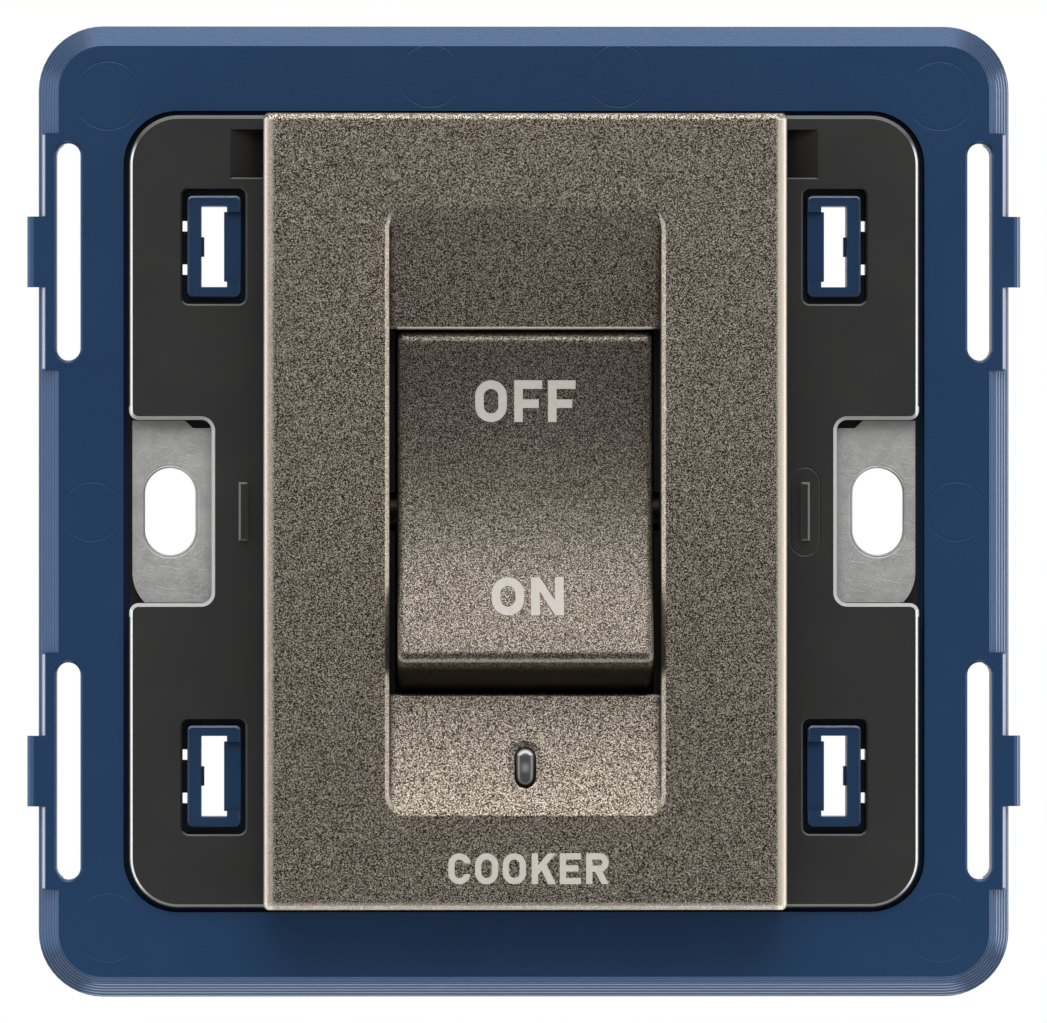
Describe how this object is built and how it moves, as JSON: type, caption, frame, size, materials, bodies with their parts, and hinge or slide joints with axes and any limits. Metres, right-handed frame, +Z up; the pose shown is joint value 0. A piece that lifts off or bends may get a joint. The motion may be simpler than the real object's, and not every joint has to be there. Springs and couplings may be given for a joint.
{
  "type": "cooker switch",
  "caption": "A flush cooker isolator switch with a dished rocker, a lamp window and terminals behind, on a blue mounting frame that takes a cover plate.",
  "frame": {"origin": "on the wall plane, midway between the two fixing slots", "axes": "+Z up, +X to the right of a person facing the switch, +Y into the wall, so the front faces -Y"},
  "size_m": [0.0846, 0.0406, 0.0826],
  "materials": {
    "blue_frame": "fine satin moulding",
    "black_plate": "satin moulding",
    "zinc_steel": "zinc plated, dull",
    "bronze_paint": "metallic bronze-grey paint with a fine fleck",
    "clear_lens": "clear, polished",
    "white_plastic": "smooth moulding",
    "spring_steel": "drawn wire",
    "copper": "bare copper strip",
    "silver": "silver contact rivet",
    "brass": "bare turned and sawn brass",
    "grey_base": "moulded thermoset",
    "lamp_glass": "clear lamp glass",
    "resistor_body": "lacquered ceramic",
    "tinned_wire": "tinned wire"
  },
  "bodies": {
    "switch_body": {"mounting_frame": "blue_frame", "support_plate": "black_plate", "fixing_lug_right": "zinc_steel", "fixing_lug_left": "zinc_steel", "front_cover": "bronze_paint", "indicator_lens": "clear_lens", "fixed_contact_line": "copper", "fixed_contact_neutral": "copper", "fixed_tip_line": "silver", "fixed_tip_neutral": "silver", "fulcrum_line": "copper", "fulcrum_neutral": "copper", "terminal_line_in": "brass", "terminal_neutral_in": "brass", "terminal_line_out": "brass", "terminal_neutral_out": "brass", "switch_base": "grey_base", "housing_screws": "zinc_steel", "neon_lamp": "lamp_glass", "lamp_resistor": "resistor_body", "lamp_leads": "tinned_wire"},
    "rocker": {"rocker": "bronze_paint", "plunger_spring_line": "spring_steel", "plunger_spring_neutral": "spring_steel"},
    "plunger_line": {"plunger_line": "white_plastic"},
    "lever_line": {"lever_line": "copper", "lever_tip_line": "silver"},
    "plunger_neutral": {"plunger_neutral": "white_plastic"},
    "lever_neutral": {"lever_neutral": "copper", "lever_tip_neutral": "silver"},
    "clamp_screw_line_in": {"clamp_screw_line_in": "zinc_steel"},
    "clamp_screw_neutral_in": {"clamp_screw_neutral_in": "zinc_steel"},
    "clamp_screw_line_out": {"clamp_screw_line_out": "zinc_steel"},
    "clamp_screw_neutral_out": {"clamp_screw_neutral_out": "zinc_steel"}
  },
  "joints": [
    {"name": "rocker_tilt", "type": "hinge", "parent": "switch_body", "child": "rocker", "pos_m": [0, -0.004, 0], "axis": [1, 0, 0], "range_deg": [0, 20]},
    {"name": "plunger_line_slide", "type": "slide", "parent": "rocker", "child": "plunger_line", "axis": [0, -0.9848, 0.1736], "range_m": [0, 0.0012], "stiffness_N_per_m": 800, "springref_m": -0.002, "deforming": ["plunger_spring_line"]},
    {"name": "lever_line_tilt", "type": "hinge", "parent": "switch_body", "child": "lever_line", "pos_m": [0, 0.00765, 0], "axis": [1, 0, 0], "range_deg": [-19.1, 0]},
    {"name": "plunger_neutral_slide", "type": "slide", "parent": "rocker", "child": "plunger_neutral", "axis": [0, -0.9848, 0.1736], "range_m": [0, 0.0012], "stiffness_N_per_m": 800, "springref_m": -0.002, "deforming": ["plunger_spring_neutral"]},
    {"name": "lever_neutral_tilt", "type": "hinge", "parent": "switch_body", "child": "lever_neutral", "pos_m": [0, 0.00765, 0], "axis": [1, 0, 0], "range_deg": [-19.1, 0]},
    {"name": "clamp_screw_line_in_drive", "type": "slide", "parent": "switch_body", "child": "clamp_screw_line_in", "axis": [0, -1, 0], "range_m": [0, 0.0046]},
    {"name": "clamp_screw_neutral_in_drive", "type": "slide", "parent": "switch_body", "child": "clamp_screw_neutral_in", "axis": [0, -1, 0], "range_m": [0, 0.0046]},
    {"name": "clamp_screw_line_out_drive", "type": "slide", "parent": "switch_body", "child": "clamp_screw_line_out", "axis": [0, -1, 0], "range_m": [0, 0.0046]},
    {"name": "clamp_screw_neutral_out_drive", "type": "slide", "parent": "switch_body", "child": "clamp_screw_neutral_out", "axis": [0, -1, 0], "range_m": [0, 0.0046]}
  ],
  "couplings": [
    {"joint": "lever_line_tilt", "follows": "rocker_tilt", "ratio": -0.95},
    {"joint": "lever_neutral_tilt", "follows": "rocker_tilt", "ratio": -0.95}
  ]
}
